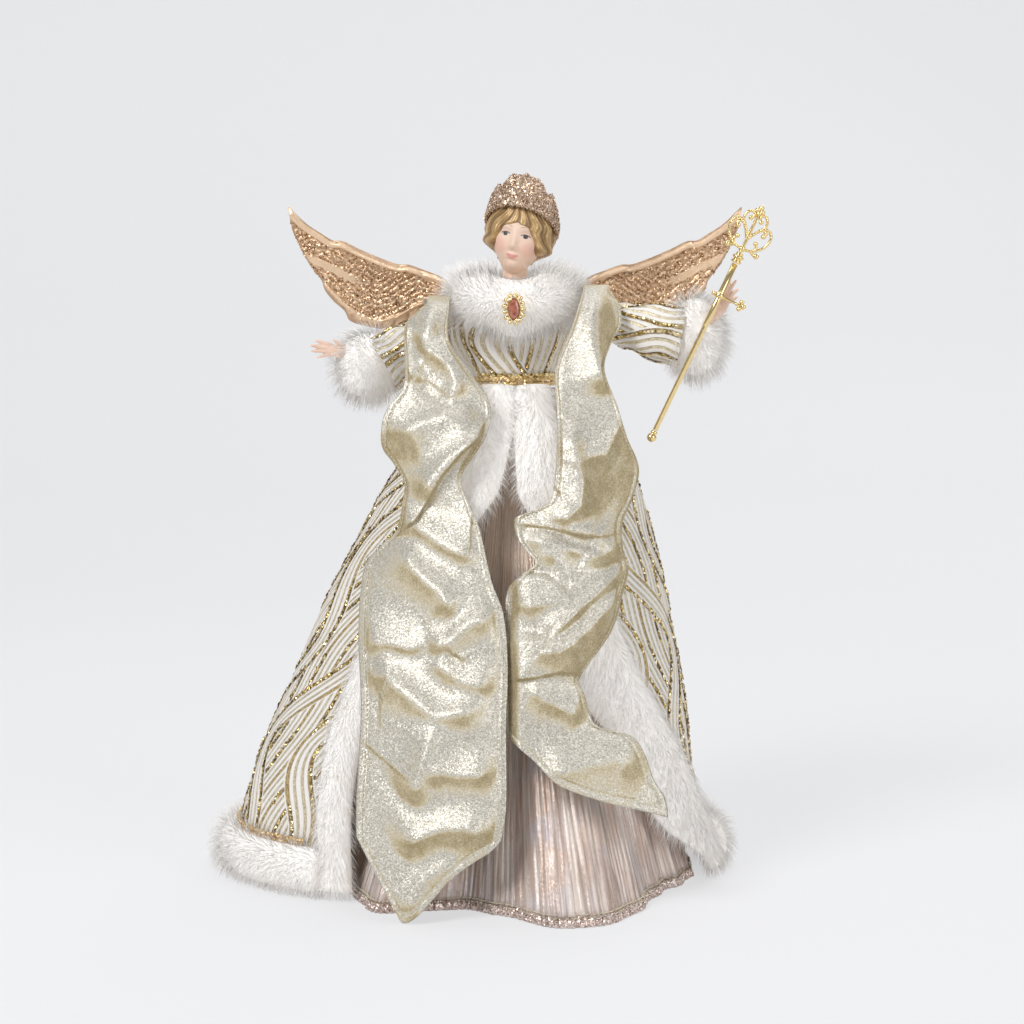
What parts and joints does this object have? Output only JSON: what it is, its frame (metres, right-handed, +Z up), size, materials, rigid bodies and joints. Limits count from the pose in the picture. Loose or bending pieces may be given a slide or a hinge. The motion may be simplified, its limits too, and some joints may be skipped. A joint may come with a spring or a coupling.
{
  "type": "angel tree topper",
  "caption": "Winged angel figure on a hollow cone, in a fur-trimmed coat and metallic stole over a pleated skirt, with posable arms and a scepter.",
  "frame": {"origin": "on the surface that the figure stands on, under the middle of its box", "axes": "+Z up, the figure faces -Y, its left arm with the scepter is on +X"},
  "size_m": [0.3221, 0.2773, 0.4067],
  "materials": {
    "card": "matt",
    "stuffing": "matt",
    "wood": "bare",
    "steel": "drawn",
    "rose_cloth": "metallic pleated",
    "rose_glitter": "glitter",
    "coat_cloth": "flocked net with sequin lines",
    "fur": "long pile",
    "sequin_gold": "sequins",
    "skin": "painted resin, matt",
    "hair_paint": "painted resin, satin",
    "crown_glitter": "glitter",
    "wing_paint": "metallic paint with glitter",
    "stole_cloth": "glitter lame",
    "polished_gold": "polished",
    "stone": "cut stone"
  },
  "bodies": {
    "figure": {"support_cone": "card", "torso_core": "stuffing", "shoulder_wire": "steel", "neck_dowel": "wood", "underskirt": "rose_cloth", "underskirt_hem_tape": "rose_glitter", "coat_skirt": "coat_cloth", "coat_front_fur_right": "fur", "coat_front_fur_left": "fur", "coat_hem_fur": "fur", "coat_hem_braid": "sequin_gold", "bodice": "coat_cloth", "belt": "sequin_gold", "fur_collar": "fur", "stole_right_panel": "stole_cloth", "stole_left_panel": "stole_cloth", "stole_back_band": "stole_cloth", "head": "skin", "hair": "hair_paint", "crown": "crown_glitter", "brooch_setting": "polished_gold", "brooch_stone": "stone", "wing_left": "wing_paint", "wing_right": "wing_paint", "wing_strap": "steel", "strap_screw_left": "steel", "strap_screw_right": "steel"},
    "right_arm": {"sleeve_right": "coat_cloth", "cuff_fur_right": "fur", "hand_right": "skin", "arm_wire_right": "steel"},
    "left_arm": {"sleeve_left": "coat_cloth", "cuff_fur_left": "fur", "hand_left": "skin", "arm_wire_left": "steel", "scepter_rod": "polished_gold", "scepter_foot": "polished_gold", "scepter_neck": "polished_gold", "scepter_head": "polished_gold", "scepter_guard": "polished_gold"}
  },
  "joints": [
    {"name": "right_shoulder_bend", "type": "hinge", "parent": "figure", "child": "right_arm", "pos_m": [-0.0193, 0.0106, 0.326], "axis": [0, 1, 0], "range_deg": [-12, 15]},
    {"name": "left_shoulder_bend", "type": "hinge", "parent": "figure", "child": "left_arm", "pos_m": [0.0507, 0.0106, 0.326], "axis": [0, -1, 0], "range_deg": [-12, 15]}
  ]
}
